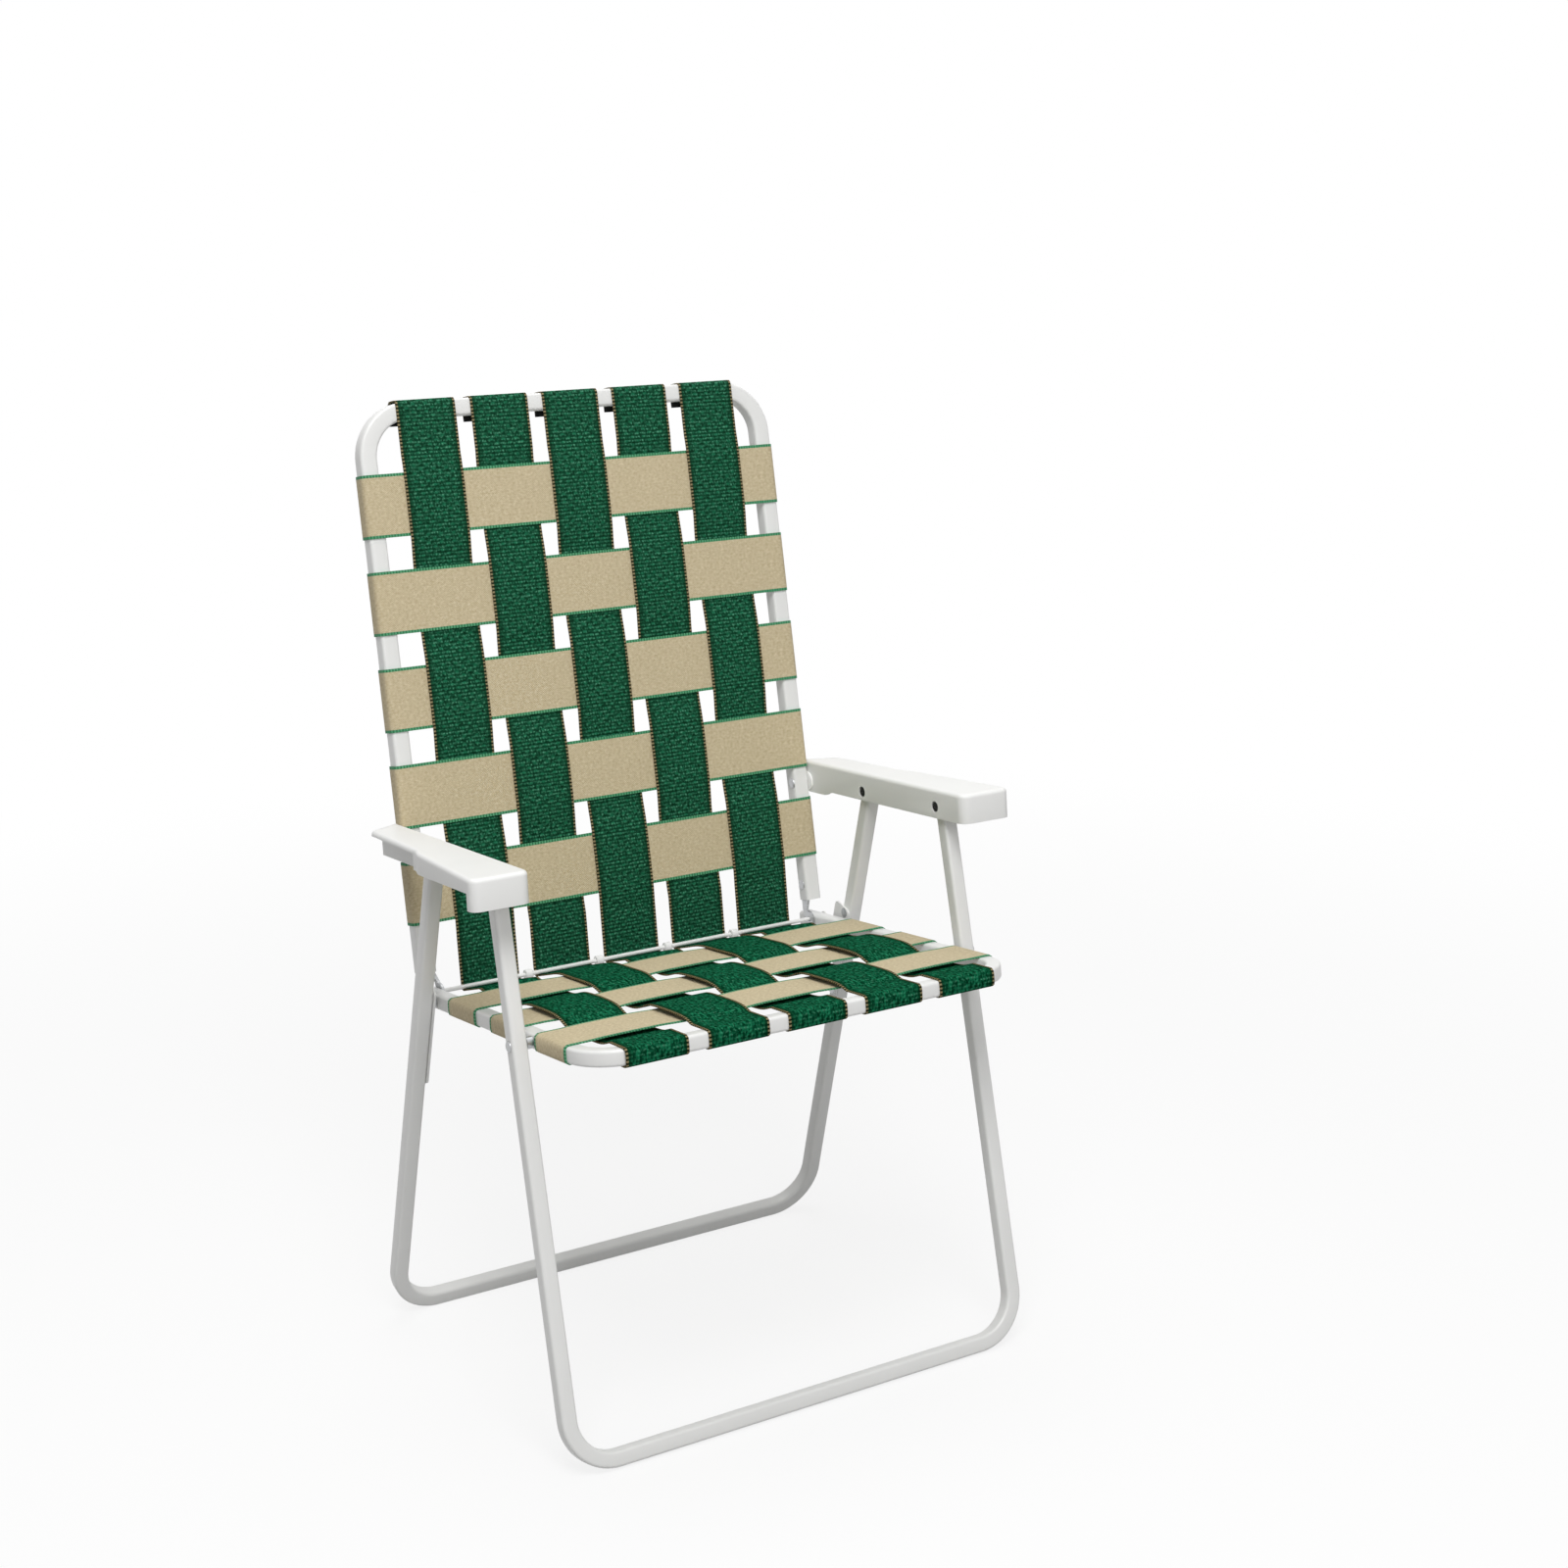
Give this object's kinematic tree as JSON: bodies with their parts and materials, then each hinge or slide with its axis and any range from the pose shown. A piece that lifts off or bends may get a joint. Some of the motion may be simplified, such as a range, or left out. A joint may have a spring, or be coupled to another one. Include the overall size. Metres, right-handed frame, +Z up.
{
  "type": "folding_webbed_lawn_chair",
  "caption": "Folding lawn chair with a white square-tube frame, moulded white armrests and a woven webbing seat and back in green and tan, shown open.",
  "frame": {"origin": "On the floor, under the middle of the open chair's bounding box.", "axes": "+X to the right as seen from in front of the chair, +Y from the front of the seat to the rear, +Z up. Left and right in node names are as seen from in front."},
  "size_m": [0.5206, 0.455, 0.8481],
  "materials": {
    "frame_white": "white powder coat, semi-gloss",
    "arm_plastic": "satin moulded plastic",
    "steel": "zinc-plated",
    "webbing_green": "cross-ribbed plastic webbing",
    "webbing_tan": "fine-woven plastic webbing with green edge threads",
    "tape_black": "flat woven tape"
  },
  "bodies": {
    "seat": {"seat_frame": "frame_white", "hinge_rod": "frame_white", "guide_pin_left": "steel", "guide_pin_right": "steel", "seat_pivot_rivet_left": "steel", "seat_pivot_rivet_right": "steel", "seat_pivot_spacer_left": "steel", "seat_pivot_spacer_right": "steel", "green_seat_strap_1": "webbing_green", "green_seat_strap_2": "webbing_green", "green_seat_strap_3": "webbing_green", "green_seat_strap_4": "webbing_green", "green_seat_strap_5": "webbing_green", "tan_seat_strap_1": "webbing_tan", "tan_seat_strap_2": "webbing_tan", "tan_seat_strap_3": "webbing_tan"},
    "back": {"back_frame": "frame_white", "hinge_tongue_left": "frame_white", "hinge_tongue_right": "frame_white", "tongue_rivet_left": "steel", "tongue_rivet_right": "steel", "green_back_strap_1": "webbing_green", "green_back_strap_2": "webbing_green", "green_back_strap_3": "webbing_green", "green_back_strap_4": "webbing_green", "green_back_strap_5": "webbing_green", "tan_back_strap_1": "webbing_tan", "tan_back_strap_2": "webbing_tan", "tan_back_strap_3": "webbing_tan", "tan_back_strap_4": "webbing_tan", "tan_back_strap_5": "webbing_tan", "strap_end_band": "tape_black"},
    "front_legs": {"front_leg_frame": "frame_white"},
    "rear_legs": {"rear_leg_frame": "frame_white", "guide_plate_left": "frame_white", "guide_plate_right": "frame_white", "guide_plate_rivet_1_left": "steel", "guide_plate_rivet_1_right": "steel", "guide_plate_rivet_2_left": "steel", "guide_plate_rivet_2_right": "steel"},
    "arms": {"armrest_left": "arm_plastic", "armrest_right": "arm_plastic", "arm_front_screw_left": "steel", "arm_front_screw_right": "steel", "arm_rear_screw_left": "steel", "arm_rear_screw_right": "steel", "arm_back_rivet_left": "steel", "arm_back_rivet_right": "steel"}
  },
  "joints": [
    {"name": "back_fold", "type": "hinge", "parent": "seat", "child": "back", "pos_m": [0, 0.10489, 0.3274], "axis": [1, 0, 0], "range_deg": [0, 84]},
    {"name": "front_leg_fold", "type": "hinge", "parent": "seat", "child": "front_legs", "pos_m": [0, -0.11773, 0.34955], "axis": [1, 0, 0], "range_deg": [0, 84]},
    {"name": "arm_turn", "type": "hinge", "parent": "back", "child": "arms", "pos_m": [0, 0.13656, 0.45729], "axis": [1, 0, 0], "range_deg": [-84, 0]},
    {"name": "rear_leg_fold", "type": "hinge", "parent": "arms", "child": "rear_legs", "pos_m": [0, 0.03761, 0.46714], "axis": [1, 0, 0], "range_deg": [0, 57.65]}
  ],
  "couplings": [
    {"joint": "front_leg_fold", "follows": "back_fold", "ratio": 1},
    {"joint": "arm_turn", "follows": "back_fold", "ratio": -1},
    {"joint": "rear_leg_fold", "follows": "back_fold", "ratio": 0.68627}
  ]
}
